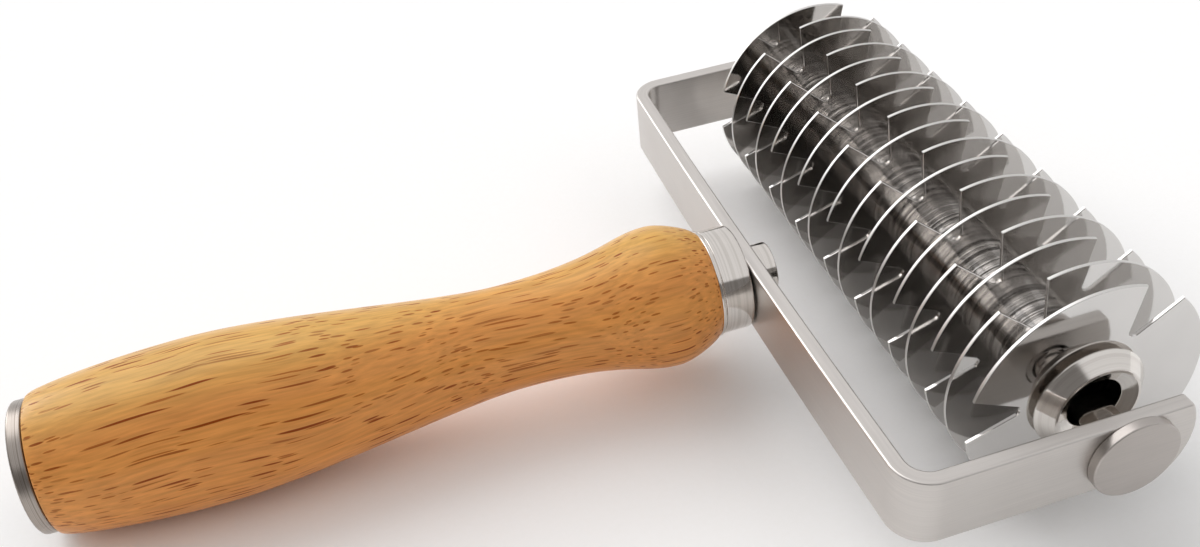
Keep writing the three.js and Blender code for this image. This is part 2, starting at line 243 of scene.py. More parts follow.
ROLLER_STEEL = turned_steel(
    "turned_steel_roller", "X", 1.0 * MM, 0.09 * MM, "#f1f0ef", "#8c8a88", 0.08, 0.15)
COLLAR_STEEL = turned_steel(
    "polished_steel_collar", "X", 0.8 * MM, 0.001 * MM, "#e2ded9", "#d6d1cc", 0.07, 0.13)
FERRULE_STEEL = turned_steel(
    "polished_steel_ferrule", "Y", 0.8 * MM, 0.002 * MM, "#e4dfda", "#d6d1cb", 0.07, 0.14)
# The cap's steel is toned dark all over as painted shade: its lower side mirrors the grip's shadow on the table.
CAP_STEEL = turned_steel(
    "turned_steel_cap", "Y", 0.25 * MM, 0.006 * MM, "#a79f98", "#867e77", 0.26, 0.36)
print("finishes:", ROLLER_STEEL.name, COLLAR_STEEL.name, FERRULE_STEEL.name, CAP_STEEL.name)

# %% [markdown]
# ## Brushed steel
# The bar was ground with a belt before it was bent, so fine scratches follow its length and go
# round the bends with it. The bar's mesh carries its own measure of length, and the finish reads
# that instead of a place. The buttons are toned darker than the bar as painted shade, because their
# faces mirror the table in the tool's shadow, and their scratches run forward.
# Scratches are about 0.3 mm apart here, coarser than real ones, to show.

# %% Brushed steel for the bar and the buttons
BAR_SCRATCHES = (40, 3300, 3300)  # per metre: along the bar, up its faces and through it
BUTTON_SCRATCHES = (3300, 90, 3300)  # per metre: sideways, forward and upward
CLOUDS_PER_METRE = 70
SCRATCH_DEPTH = 0.004 * MM


def brushed_steel(name, scratches_per_metre, from_bar, dark, light):
    material, tree, steel, place = new_finish(name)
    if from_bar:
        place = add(tree, "ShaderNodeAttribute", attribute_name="bar_place").outputs["Vector"]
    drawn = add(tree, "ShaderNodeMapping", {"Vector": place, "Scale": scratches_per_metre})
    scratches = add(tree, "ShaderNodeTexNoise", {
        "Vector": drawn.outputs["Vector"],
        "Scale": 1,
        "Detail": 5,
        "Roughness": 0.65,
    })
    haze = add(tree, "ShaderNodeMapRange", {
        "Value": scratches.outputs["Fac"],
        "From Min": NOISE_LOW,
        "From Max": NOISE_HIGH,
        "To Min": 0.3,
        "To Max": 0.44,
    })
    cloud = add(tree, "ShaderNodeTexNoise", {"Vector": place, "Scale": CLOUDS_PER_METRE, "Detail": 2})
    worn = add(tree, "ShaderNodeMix", {
        "Factor": cloud.outputs["Fac"],
        MIX_A: linear(dark),
        MIX_B: linear(light),
    }, data_type="RGBA")
    shade = add(tree, "ShaderNodeMapRange", {
        "Value": scratches.outputs["Fac"],
        "From Min": 0.25,
        "From Max": 0.75,
        "To Min": 0.9,
        "To Max": 1.06,
    })
    tone = add(tree, "ShaderNodeVectorMath", {
        0: worn.outputs[MIX_RESULT],
        "Scale": shade.outputs["Result"],
    }, operation="SCALE")
    bump = add(tree, "ShaderNodeBump", {"Height": scratches.outputs["Fac"], "Distance": SCRATCH_DEPTH})
    tree.links.new(tone.outputs["Vector"], steel.inputs["Base Color"])
    tree.links.new(haze.outputs["Result"], steel.inputs["Roughness"])
    tree.links.new(bump.outputs["Normal"], steel.inputs["Normal"])
    steel.inputs["Metallic"].default_value = 1
    return material


BAR_STEEL = brushed_steel("brushed_steel_bar", BAR_SCRATCHES, True, "#c9c4c0", "#d3cfcb")
# The buttons' darker tone is painted shade for the shadowed table that their faces mirror.
BUTTON_STEEL = brushed_steel("brushed_steel_button", BUTTON_SCRATCHES, False, "#b3ada8", "#c0bab6")
print("finishes:", BAR_STEEL.name, BUTTON_STEEL.name)

# %% [markdown]
# ## Lacquered wood
# The grip is a warm hardwood under a thin satin lacquer. Its open pores are thin tubes along the
# grain: cut lengthways they show as dark dashes, and where the turned shape cuts across the grain
# they shorten to dots. So they are drawn through the whole block, as long thin cells of a Voronoi
# pattern, and the turned surface slices them. There are large pores and small ones, and the large
# ones fade in places, so that they gather in loose bands.

# %% Pores
PORE_EDGE = 0.27  # shares of a cell, from its middle: outside the first there is only wood
PORE_CORE = 0.2
EMPTY_CELLS = 0.05
FAINT_CELLS = 0.3


def pore_cells(tree, place, across, along):
    stretched = add(tree, "ShaderNodeMapping", {
        "Vector": place,
        "Scale": (1 / across, 1 / along, 1 / across),
    })
    cells = add(tree, "ShaderNodeTexVoronoi", {"Vector": stretched.outputs["Vector"], "Scale": 1})
    chance = add(tree, "ShaderNodeSeparateColor", {"Color": cells.outputs["Color"]})
    filled = add(tree, "ShaderNodeMapRange", {
        "Value": chance.outputs["Red"],
        "From Min": EMPTY_CELLS,
        "From Max": FAINT_CELLS,
    })
    tube = add(tree, "ShaderNodeMapRange", {
        "Value": cells.outputs["Distance"],
        "From Min": PORE_EDGE,
        "From Max": PORE_CORE,
    })
    pore = add(tree, "ShaderNodeMath", {
        0: filled.outputs["Result"],
        1: tube.outputs["Result"],
    }, operation="MULTIPLY")
    return pore.outputs["Value"]


# %% [markdown]
# ## Grain and colour of the wood
# Grain never runs quite straight, so a slow noise pushes every place a little sideways first. The
# wood is orange-brown below and turns to a paler, yellower wood towards its upper left side, which
# faces the lamps. This is partly sapwood, as a piece cut near the bark has, and partly a painted
# sheen of that light. Bands and fine fibres, long and thin along the grain, vary both.

# %% Grain
WANDERS_PER_METRE = 36
WANDER_REACH = (4 * MM, 0, 4 * MM)


def wandering_grain(tree, place):
    wander = add(tree, "ShaderNodeTexNoise", {"Vector": place, "Scale": WANDERS_PER_METRE, "Detail": 1})
    centred = add(tree, "ShaderNodeVectorMath", {
        0: wander.outputs["Color"],
        1: (0.5, 0.5, 0.5),
    }, operation="SUBTRACT")
    drift = add(tree, "ShaderNodeVectorMath", {
        0: centred.outputs["Vector"],
        1: WANDER_REACH,
        2: place,
    }, operation="MULTIPLY_ADD")
    return drift.outputs["Vector"]


def stretched_noise(tree, place, per_metre, detail):
    stretched = add(tree, "ShaderNodeMapping", {"Vector": place, "Scale": per_metre})
    noise = add(tree, "ShaderNodeTexNoise", {
        "Vector": stretched.outputs["Vector"],
        "Scale": 1,
        "Detail": detail,
    })
    return noise.outputs["Fac"]


# %% Colour of the wood without its pores
FIBRES_PER_METRE = (1500, 90, 1500)
HEARTWOOD = ("#cc8038", "#e8a35c")
# The pale, yellow wood is partly sapwood and partly a painted sheen of the lamps on the upper left.
SAPWOOD_AND_SHEEN = ("#c9984a", "#e3b468")
PALE_LIT_SIDE = (-0.5, 0, 0.87)
SAPWOOD_AND_SHEEN_START = 2 * MM  # distances from the middle of the roller, towards the pale side, which faces the lamps
SAPWOOD_AND_SHEEN_FULL = 12 * MM


def timber(tree, grain, bands):
    heart, sap_and_sheen = [
        add(tree, "ShaderNodeMix", {
            "Factor": bands,
            MIX_A: linear(dark),
            MIX_B: linear(pale),
        }, data_type="RGBA").outputs[MIX_RESULT]
        for dark, pale in (HEARTWOOD, SAPWOOD_AND_SHEEN)
    ]
    # Painted sheen: the wood turns paler and yellower towards the lit upper left, partly as sapwood.
    outward = add(tree, "ShaderNodeVectorMath", {0: grain, 1: PALE_LIT_SIDE}, operation="DOT_PRODUCT")
    near_bark_and_light = add(tree, "ShaderNodeMapRange", {
        "Value": outward.outputs["Value"],
        "From Min": SAPWOOD_AND_SHEEN_START,
        "From Max": SAPWOOD_AND_SHEEN_FULL,
    }, interpolation_type="SMOOTHSTEP")
    both = add(tree, "ShaderNodeMix", {
        "Factor": near_bark_and_light.outputs["Result"],
        MIX_A: heart,
        MIX_B: sap_and_sheen,
    }, data_type="RGBA")
    light = add(tree, "ShaderNodeMapRange", {
        "Value": stretched_noise(tree, grain, FIBRES_PER_METRE, 5),
        "From Min": NOISE_LOW,
        "From Max": NOISE_HIGH,
        "To Min": 0.84,
        "To Max": 1.14,
    })
    ground = add(tree, "ShaderNodeVectorMath", {
        0: both.outputs[MIX_RESULT],
        "Scale": light.outputs["Result"],
    }, operation="SCALE")
    return ground.outputs["Vector"]


# %% Wood for the grip
BANDS_PER_METRE = (110, 14, 110)
DASH_SPACING = (0.95 * MM, 30 * MM)  # across the grain and along it
SPECK_SPACING = (0.75 * MM, 17 * MM)
SPECK_STRENGTH = 0.8


def lacquered_wood():
    material, tree, wood, place = new_finish("lacquered_hardwood")
    grain = wandering_grain(tree, place)
    bands = stretched_noise(tree, grain, BANDS_PER_METRE, 3)
    dashes = pore_cells(tree, grain, *DASH_SPACING)
    specks = pore_cells(tree, grain, *SPECK_SPACING)
    fine = add(tree, "ShaderNodeMath", {0: specks, 1: SPECK_STRENGTH}, operation="MULTIPLY")
    speckled = add(tree, "ShaderNodeMix", {
        "Factor": fine.outputs["Value"],
        MIX_A: timber(tree, grain, bands),
        MIX_B: linear("#a05212"),
    }, data_type="RGBA")
    gather = add(tree, "ShaderNodeMapRange", {
        "Value": bands,
        "From Min": 0.62,
        "From Max": 0.48,
        "To Min": 0.5,
        "To Max": 1,
    })
    strong = add(tree, "ShaderNodeMath", {
        0: dashes,
        1: gather.outputs["Result"],
    }, operation="MULTIPLY")
    tone = add(tree, "ShaderNodeMix", {
        "Factor": strong.outputs["Value"],
        MIX_A: speckled.outputs[MIX_RESULT],
        MIX_B: linear("#8a3c00"),
    }, data_type="RGBA")
    gloss = add(tree, "ShaderNodeMapRange", {"Value": dashes, "To Min": 0.32, "To Max": 0.5})
    tree.links.new(tone.outputs[MIX_RESULT], wood.inputs["Base Color"])
    tree.links.new(gloss.outputs["Result"], wood.inputs["Roughness"])
    wood.inputs["IOR"].default_value = 1.46
    wood.inputs["Specular IOR Level"].default_value = 0.15
    wood.inputs["Coat Weight"].default_value = 0.15
    wood.inputs["Coat Roughness"].default_value = 0.22
    return material


WOOD = lacquered_wood()
print("finish:", WOOD.name, "with", len(WOOD.node_tree.nodes), "nodes")

# %% [markdown]
# ## A lathe made of nodes
# Eight kinds of piece on this tool are turned: each is one outline carried round an axis. A Spin or
# a Screw modifier could do it, but a tree of nodes lets one rule serve them all. It lays out a grid
# of corners, one row for each point of the outline and one column for each step round, and rolls
# the grid up. The last column meets the first, and merging closes the seam and the poles.

# %% Lathe tree
SEAM_GAP = 1e-4


def lathe_tree():
    tree = bpy.data.node_groups.new("turned_on_a_lathe", "GeometryNodeTree")
    sockets = tree.interface
    sockets.new_socket("Outline", in_out="INPUT", socket_type="NodeSocketGeometry")
    sockets.new_socket("Sides", in_out="INPUT", socket_type="NodeSocketInt")
    sockets.new_socket("Finish", in_out="INPUT", socket_type="NodeSocketMaterial")
    sockets.new_socket("Piece", in_out="OUTPUT", socket_type="NodeSocketGeometry")
    given = add(tree, "NodeGroupInput")
    sides = given.outputs["Sides"]
    outline = given.outputs["Outline"]
    count = add(tree, "GeometryNodeAttributeDomainSize", {"Geometry": outline}, component="MESH")
    columns = add(tree, "ShaderNodeMath", {0: sides, 1: 1}, operation="ADD").outputs["Value"]
    grid = add(tree, "GeometryNodeMeshGrid", {
        "Vertices X": count.outputs["Point Count"],
        "Vertices Y": columns,
    })
    index = add(tree, "GeometryNodeInputIndex").outputs["Index"]
    share = add(tree, "ShaderNodeMath", {0: index, 1: columns}, operation="DIVIDE")
    row = add(tree, "ShaderNodeMath", {0: share.outputs["Value"]}, operation="FLOOR")
    column = add(tree, "ShaderNodeMath", {0: index, 1: columns}, operation="MODULO")
    point = add(tree, "GeometryNodeSampleIndex", {
        "Geometry": outline,
        "Value": add(tree, "GeometryNodeInputPosition").outputs["Position"],
        "Index": row.outputs["Value"],
    }, data_type="FLOAT_VECTOR", domain="POINT")
    part = add(tree, "ShaderNodeSeparateXYZ", {"Vector": point.outputs["Value"]})
    step = add(tree, "ShaderNodeMath", {0: column.outputs["Value"], 1: sides}, operation="DIVIDE")
    angle = add(tree, "ShaderNodeMath", {0: step.outputs["Value"], 1: 2 * math.pi}, operation="MULTIPLY")
    sine = add(tree, "ShaderNodeMath", {0: angle.outputs["Value"]}, operation="SINE")
    cosine = add(tree, "ShaderNodeMath", {0: angle.outputs["Value"]}, operation="COSINE")
    across = add(tree, "ShaderNodeMath", {
        0: part.outputs["X"],
        1: sine.outputs["Value"],
    }, operation="MULTIPLY")
    upward = add(tree, "ShaderNodeMath", {
        0: part.outputs["X"],
        1: cosine.outputs["Value"],
    }, operation="MULTIPLY")
    place = add(tree, "ShaderNodeCombineXYZ", {
        "X": across.outputs["Value"],
        "Y": part.outputs["Y"],
        "Z": upward.outputs["Value"],
    })
    rolled = add(tree, "GeometryNodeSetPosition", {
        "Geometry": grid.outputs["Mesh"],
        "Position": place.outputs["Vector"],
    })
    closed = add(tree, "GeometryNodeMergeByDistance", {
        "Geometry": rolled.outputs["Geometry"],
        "Distance": SEAM_GAP,
    })
    real = add(tree, "GeometryNodeRealizeInstances", {"Geometry": closed.outputs["Geometry"]})
    dressed = add(tree, "GeometryNodeSetMaterial", {
        "Geometry": real.outputs["Geometry"],
        "Material": given.outputs["Finish"],
    })
    add(tree, "NodeGroupOutput", {"Piece": dressed.outputs["Geometry"]})
    return tree


LATHE = lathe_tree()
print("nodes in the lathe:", len(LATHE.nodes))

# %% [markdown]
# ## From a tree of nodes to a plain mesh
# A finished piece is a plain mesh that lies where it belongs, on an object at the origin. So the
# tree's inputs are set by their identifiers, the result is read off, the modifier goes, and the
# matrix is applied to the mesh itself. Normals are then turned outwards and sharp corners marked.

# %% Settling a piece
SHARP_ANGLE = math.radians(35)


def run_tree(piece, tree, **inputs):
    modifier = piece.modifiers.new(tree.name, "NODES")
    modifier.node_group = tree
    for item in tree.interface.items_tree:
        if item.in_out == "INPUT" and item.name in inputs:
            modifier[item.identifier] = inputs[item.name]
    seen = piece.evaluated_get(bpy.context.evaluated_depsgraph_get())
    made = bpy.data.meshes.new_from_object(seen)
    piece.modifiers.clear()
    piece.data = made
    return piece


def settle(piece, matrix):
    mesh = piece.data
    mesh.transform(matrix)
    shell = bmesh.new()
    shell.from_mesh(mesh)
    bmesh.ops.recalc_face_normals(shell, faces=shell.faces)
    shell.to_mesh(mesh)
    shell.free()
    mesh.shade_smooth()
    mesh.set_sharp_from_angle(angle=SHARP_ANGLE)
    mesh.name = piece.name
    return piece


def new_piece(name, corners, edges, faces):
    mesh = bpy.data.meshes.new(name)
    mesh.from_pydata(corners, edges, faces)
    piece = bpy.data.objects.new(name, mesh)
    bpy.context.scene.collection.objects.link(piece)
    return piece


def dress(piece, body, slot, *nodes):
    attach(piece, body)
    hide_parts(*nodes)
    print(piece.name, "faces:", len(piece.data.polygons), "stands for", len(nodes))


# %% [markdown]
# ## Soft corners
# No corner on a real turned piece is perfectly sharp, and a bright line runs along its rounding.
# Each outline is written as corners with a rounding radius, which this function turns into arcs.
# It also sets a guard point just beside each arc, so smooth shading stays flat on the flat faces.

# %% Rounded outlines
ARC_STEPS = 5
GUARD = 0.03
SHARP = 0  # roundings in millimetres
CRISP = 0.05
BROKEN = 0.1
EASED = 0.2
SOFT = 0.3
ROUNDED = 0.5


def soften(corners, closed):
    outline = []
    for number, (radius, place, rounding) in enumerate(corners):
        here = Vector((radius, place))
        if rounding == SHARP:
            outline.append(here)
            continue
        before = (Vector(corners[number - 1][:2]) - here).normalized()
        after = (Vector(corners[(number + 1) % len(corners)][:2]) - here).normalized()
        half = before.angle(after) / 2
        reach = rounding / math.tan(half)
        centre = here + (before + after).normalized() * rounding / math.sin(half)
        start = here + before * reach
        end = here + after * reach
        first = (start - centre).normalized()
        last = (end - centre).normalized()
        outline.append(start + before * GUARD)
        for step in range(ARC_STEPS + 1):
            outline.append(centre + rounding * first.slerp(last, step / ARC_STEPS))
        outline.append(end + after * GUARD)
    if closed:
        outline.append(outline[0])
    return outline


def turned(name, outline, sides, finish):
    points = [(radius, place, 0) for radius, place in outline]
    edges = [(number, number + 1) for number in range(len(points) - 1)]
    return run_tree(new_piece(name, points, edges, []), LATHE, Sides=sides, Finish=finish)


print("corner of 1 mm:", len(soften([(0, 0, SHARP), (5, 0, 1), (5, 5, SHARP)], False)), "points")

# %% [markdown]
# ## The handle: ferrule, cap and boss
# A polished cup, the ferrule, holds the front of the wood, and a turned cap closes its rear. The
# tang, a rod through the wood and the bar, ends in a round boss in front of the bar. The ferrule
# has a small bead against the wood, with a groove beside it that reads as a thin dark line.

# %% Ferrule
HANDLE_SIDES = 128
ROD_BORE = 2.8
FERRULE_FRONT = -42.6
FERRULE_LENGTH = 6.85
FERRULE_RADIUS = 10.7
FERRULE_WALL = 1.2
FERRULE_FACE = 1.5
BEAD_RADIUS = 11
BEAD_WIDTH = 0.7
GROOVE = 0.18

cup_inside = FERRULE_RADIUS - FERRULE_WALL
bead_front = BEAD_WIDTH - FERRULE_LENGTH
ferrule_corners = [
    (cup_inside, -FERRULE_LENGTH, BROKEN),
    (BEAD_RADIUS, -FERRULE_LENGTH, EASED),
    (BEAD_RADIUS, bead_front, EASED),
    (FERRULE_RADIUS - GROOVE, bead_front, CRISP),
    (FERRULE_RADIUS - GROOVE, bead_front + GROOVE, CRISP),
    (FERRULE_RADIUS, bead_front + 2 * GROOVE, BROKEN),
    (FERRULE_RADIUS, 0, ROUNDED),
    (ROD_BORE, 0, BROKEN),
    (ROD_BORE, -FERRULE_FACE, BROKEN),
    (cup_inside, -FERRULE_FACE, BROKEN),
]
ferrule = turned("ferrule_cup", soften(ferrule_corners, True), HANDLE_SIDES, FERRULE_STEEL)
settle(ferrule, carried_frame @ Matrix.Translation((0, FERRULE_FRONT, 0)))
dress(ferrule, "handle_frame", "polished_steel", "ferrule")

# %% Cap and boss
CAP_FRONT = -179.2
CAP_THICKNESS = 2.7
CAP_RADIUS = 12.7
CAP_SOCKET = 1.8
BOSS_REAR = -39
BOSS_LENGTH = 3.8
BOSS_RADIUS = 5.3
BOSS_SOCKET = 2.5

cap_corners = [
    (0, -CAP_THICKNESS, SHARP),
    (CAP_RADIUS, -CAP_THICKNESS, ROUNDED),
    (CAP_RADIUS, 0, SOFT),
    (ROD_BORE, 0, BROKEN),
    (ROD_BORE, -CAP_SOCKET, BROKEN),
    (0, -CAP_SOCKET, SHARP),
]
cap = turned("rear_cap", soften(cap_corners, False), HANDLE_SIDES, CAP_STEEL)
settle(cap, carried_frame @ Matrix.Translation((0, CAP_FRONT, 0)))
dress(cap, "handle_frame", "satin_steel", "end_cap")

boss_corners = [
    (0, BOSS_SOCKET, SHARP),
    (ROD_BORE, BOSS_SOCKET, BROKEN),
    (ROD_BORE, 0, BROKEN),
    (BOSS_RADIUS, 0, BROKEN),
    (BOSS_RADIUS, BOSS_LENGTH, SOFT),
    (0, BOSS_LENGTH, SHARP),
]
boss = turned("tang_end", soften(boss_corners, False), HANDLE_SIDES, FERRULE_STEEL)
settle(boss, carried_frame @ Matrix.Translation((0, BOSS_REAR, 0)))
dress(boss, "handle_frame", "polished_steel", "tang_boss")

# %% [markdown]
# ## The grip
# The grip swells to a bulb behind the ferrule, narrows to a waist for the fingers, and fills out to
# a belly for the palm. Four Bezier curves give its outline. Each leaves the bulb, the waist and the
# belly along the axis, so they join without a kink. The front of the bulb is up to 0.3 mm fuller
# here than in its solid. The wood reaches up to the ferrule's bead.

# %% Grip
GRIP_FRONT = -49.75
GRIP_LENGTH = 129.15
GRIP_FRONT_RADIUS = 11.05
BULB = Vector((14.4, 8.85))
WAIST = Vector((10.45, 40.65))
BELLY = Vector((16.1, 99.55))
GRIP_REAR_RADIUS = 13.2
FRONT_LEAN = 0.2  # shares of the step in radius at the ends, for the first and the last handle
REAR_LEAN = 0.34
BULB_HANDLES = (-0.34, 0.25)  # shares of the stretch before and after a point
WAIST_HANDLES = (-0.67, 0.23)
BELLY_HANDLES = (-0.32, 0.47)
REAR_ROUNDING = 0.4
FRONT_STEP = 0.1
GRIP_STEPS = 36
BEAD_GAP = 0.28
TENON_RADIUS = 9.2
TENON_LENGTH = 5.35


def beside(point, share, reach):
    return point + Vector((0, share * reach))


front = Vector((GRIP_FRONT_RADIUS, 0))
front_handle = front.lerp(Vector((BULB.x, 0)), FRONT_LEAN)
rear = Vector((GRIP_REAR_RADIUS, GRIP_LENGTH))
rear_handle = rear.lerp(Vector((BELLY.x, GRIP_LENGTH)), REAR_LEAN)
to_waist = WAIST.y - BULB.y
to_belly = BELLY.y - WAIST.y
to_rear = GRIP_LENGTH - BELLY.y
into_bulb = beside(BULB, BULB_HANDLES[0], BULB.y)
from_bulb = beside(BULB, BULB_HANDLES[1], to_waist)
into_waist = beside(WAIST, WAIST_HANDLES[0], to_waist)
from_waist = beside(WAIST, WAIST_HANDLES[1], to_belly)
into_belly = beside(BELLY, BELLY_HANDLES[0], to_belly)
from_belly = beside(BELLY, BELLY_HANDLES[1], to_rear)
grip_curves = [
    (front, front_handle, into_bulb, BULB),
    (BULB, from_bulb, into_waist, WAIST),
    (WAIST, from_waist, into_belly, BELLY),
    (BELLY, from_belly, rear_handle, rear),
]
skin = [front]
for curve in grip_curves:
    skin += interpolate_bezier(*curve, GRIP_STEPS)[1:]
grip_outline = [(ROD_BORE, -GRIP_LENGTH)]
rear_corner = [
    (ROD_BORE, -GRIP_LENGTH, SHARP),
    (rear.x, -rear.y, REAR_ROUNDING),
    (skin[-2].x, -skin[-2].y, SHARP),
]
grip_outline += [tuple(point) for point in soften(rear_corner, False)[1:-1]]
grip_outline += [(point.x, -point.y) for point in reversed(skin[:-2])]
grip_outline += [
    (GRIP_FRONT_RADIUS - FRONT_STEP, BEAD_GAP),
    (TENON_RADIUS, BEAD_GAP),
    (TENON_RADIUS, TENON_LENGTH),
    (ROD_BORE, TENON_LENGTH),
    (ROD_BORE, -GRIP_LENGTH),
]
grip = turned("wooden_grip", grip_outline, HANDLE_SIDES, WOOD)
settle(grip, carried_frame @ Matrix.Translation((0, GRIP_FRONT, 0)))
dress(grip, "handle_frame", "turned_wood", "handle_grip")

# %% [markdown]
# ## The bent bar
# One flat bar makes the crossbar and both arms. A curve with a rounded profile would give the bends
# but not the arched, drilled ends of the arms. So the bar is built as a strip: stations along its
# length, each with an upper and a lower corner, in layers from its inside face to its outside face.
# The layers pull in near the faces, which rounds the edges all the way round the ends.

# %% Line of the bar
BAR_WIDTH = 14.5
BAR_THICKNESS = 3
BAR_EDGE = 0.4
ARM_MIDDLE = 68.5
BEND_RADIUS = 5.5  # at the middle of the bar's thickness
BEND_STEPS = 20
CROSSBAR_PLACE = -40.8
CROSSBAR_BOW = 0.6
CROSSBAR_STEPS = 16
ARM_OVERHANG = 12.25
TIP_RADIUS = 13.75
TIP_RISE = 1.2
TIP_CORNER = 0.8
TIP_STEPS = 12
CORNER_STEPS = 6
DRILL_RADIUS = 5
DRILL_PATCH = -7
MID_ARM = -20
BEND_GUARD = 0.5

bend_side = ARM_MIDDLE - BEND_RADIUS
bend_place = CROSSBAR_PLACE + CROSSBAR_BOW + BEND_RADIUS
tip_centre = Vector((ARM_OVERHANG - TIP_RADIUS, TIP_RISE))


def bar_line():
    arm = (DRILL_PATCH, MID_ARM, bend_place + BEND_GUARD)
    line = [(Vector((ARM_MIDDLE, place)), Vector((1, 0))) for place in arm]
    for step in range(BEND_STEPS + 1):
        angle = -step / BEND_STEPS * math.pi / 2
        outward = Vector((math.cos(angle), math.sin(angle)))
        line.append((Vector((bend_side, bend_place)) + BEND_RADIUS * outward, outward))
    for step in range(1, CROSSBAR_STEPS + 1):
        side = bend_side * (1 - step / CROSSBAR_STEPS)
        bowed = CROSSBAR_PLACE + CROSSBAR_BOW * (side / bend_side) ** 2
        slope = 2 * CROSSBAR_BOW * side / bend_side ** 2
        line.append((Vector((side, bowed)), Vector((slope, -1)).normalized()))
    mirror = Vector((-1, 1))
    return line + [(point * mirror, outward * mirror) for point, outward in reversed(line[:-1])]


line = bar_line()
lengths = [0]
for (start, _), (end, _) in zip(line, line[1:]):
    lengths.append(lengths[-1] + (end - start).length)
print("length of the bar between its drilled ends:", round(lengths[-1], 1))

# %% Layers of the bar
def bar_layers():
    half = BAR_THICKNESS / 2
    arc = []
    for step in range(ARC_STEPS + 1):
        angle = step / ARC_STEPS * math.pi / 2
        arc.append((half - BAR_EDGE + BAR_EDGE * math.sin(angle), BAR_EDGE * (1 - math.cos(angle))))
    outside = [(half - BAR_EDGE - GUARD, 0)] + arc + [(half, BAR_EDGE + GUARD)]
    return [(-depth, inset) for depth, inset in reversed(outside)] + outside


def arm_end(inset, way):
    """Corners of an arm's end, from its middle to its upper edge, or to its lower one for -1."""
    height = way * (BAR_WIDTH / 2 - TIP_CORNER)
    reach = TIP_RADIUS - TIP_CORNER
    rise = height - TIP_RISE
    corner = tip_centre + Vector((math.sqrt(reach ** 2 - rise ** 2), rise))
    bend = math.asin(rise / reach)
    end = []
    for step in range(TIP_STEPS + 1):
        angle = bend * step / TIP_STEPS
        end.append(tip_centre + (TIP_RADIUS - inset) * Vector((math.cos(angle), math.sin(angle))))
    for step in range(1, CORNER_STEPS + 1):
        angle = bend + (way * math.pi / 2 - bend) * step / CORNER_STEPS
        end.append(corner + (TIP_CORNER - inset) * Vector((math.cos(angle), math.sin(angle))))
    return end


def layer_stations(depth, inset):
    """Upper and lower corners along one layer, each as (place, length along the bar)."""
    side = ARM_MIDDLE + depth
    ends = list(zip(arm_end(inset, 1), arm_end(inset, -1)))
    right = [[(Vector((side, *at)), DRILL_PATCH - at.x) for at in pair] for pair in ends]
    left = [
        [(Vector((-side, *at)), lengths[-1] + at.x - DRILL_PATCH) for at in pair]
        for pair in reversed(ends)
    ]
    middle = []
    for (point, outward), length in zip(line, lengths):
        place = point + outward * depth
        middle.append([(Vector((*place, way * (BAR_WIDTH / 2 - inset))), length) for way in (1, -1)])
    return right + middle + left


layers = bar_layers()
print("layers through the bar:", len(layers))

# %% Corners of the bar
SAME_PLACE = 1e-6
bar = bmesh.new()
bar_place = bar.verts.layers.float_vector.new("bar_place")


def bar_corner(place, length, depth):
    corner = bar.verts.new(place)
    corner[bar_place] = Vector((length, place.z, depth)) * MM
    return corner


strips = []
for depth, inset in layers:
    strip = []
    for upper, lower in layer_stations(depth, inset):
        high = bar_corner(*upper, depth)
        at_tip = (upper[0] - lower[0]).length < SAME_PLACE
        strip.append((high, high if at_tip else bar_corner(*lower, depth)))
    strips.append(strip)
print("corners of the bar:", len(bar.verts))

# %% Edges of the bar
for inner, outer in zip(strips, strips[1:]):
    for number in range(len(inner) - 1):
        for level in (0, 1):
            bar.faces.new((
                inner[number][level],
                inner[number + 1][level],
                outer[number + 1][level],
                outer[number][level],
            ))

print("faces round the edges:", len(bar.faces))

# %% Drilled ends of the arms
SEAM_SHARES = (0.2, 0.4, 0.6, 0.8)


def drilled_end(strip, order, depth):
    """Fills one end of a face round its hole, and gives the corners of the hole and the seam."""
    patch = [strip[number] for number in order]
    seam = []
    upper, lower = patch[-1]
    for share in SEAM_SHARES:
        seam.append(bar_corner(lower.co.lerp(upper.co, share), upper[bar_place].x / MM, depth))
    rim = [pair[0] for pair in reversed(patch)] + [pair[1] for pair in patch[1:]] + seam
    hole = []
    for corner in rim:
        spoke = Vector((corner.co.y, corner.co.z)).normalized() * DRILL_RADIUS
        hole.append(bar_corner(Vector((corner.co.x, *spoke)), corner[bar_place].x / MM, depth))
    for number in range(len(rim)):
        following = (number + 1) % len(rim)
        bar.faces.new((rim[number], rim[following], hole[following], hole[number]))
    return hole, seam


stations = len(strips[0])
right_end = list(range(TIP_STEPS + CORNER_STEPS + 2))
left_end = [stations - 1 - number for number in right_end]
holes = {}
for strip, (depth, _) in ((strips[0], layers[0]), (strips[-1], layers[-1])):
    right_hole, right_seam = drilled_end(strip, right_end, depth)
    left_hole, left_seam = drilled_end(strip, left_end, depth)
    holes.setdefault("right", []).append(right_hole)
    holes.setdefault("left", []).append(left_hole)
    first, last = right_end[-1], left_end[-1]
    for number in range(first, last):
        loop = [strip[number][0], strip[number + 1][0]]
        if number + 1 == last:
            loop += reversed(left_seam)
        loop += [strip[number + 1][1], strip[number][1]]
        if number == first:
            loop += right_seam
        bar.faces.new(loop)

# %% Holes, and the bar itself
for inner, outer in holes.values():
    for number in range(len(inner)):
        following = (number + 1) % len(inner)
        bar.faces.new((inner[number], inner[following], outer[following], outer[number]))

bent_bar = new_piece("bent_bar", [], [], [])
bar.to_mesh(bent_bar.data)
bar.free()
bent_bar.data.materials.append(BAR_STEEL)
settle(bent_bar, carried_frame)
dress(bent_bar, "handle_frame", "satin_steel", "frame")

# %% [markdown]
# ## The axle and its buttons
# The axle is a plain polished rod between the arms. Outside each arm sits a flat round button, with
# a soft bright rim, on a hollow shank that goes through the arm and takes the axle's end.

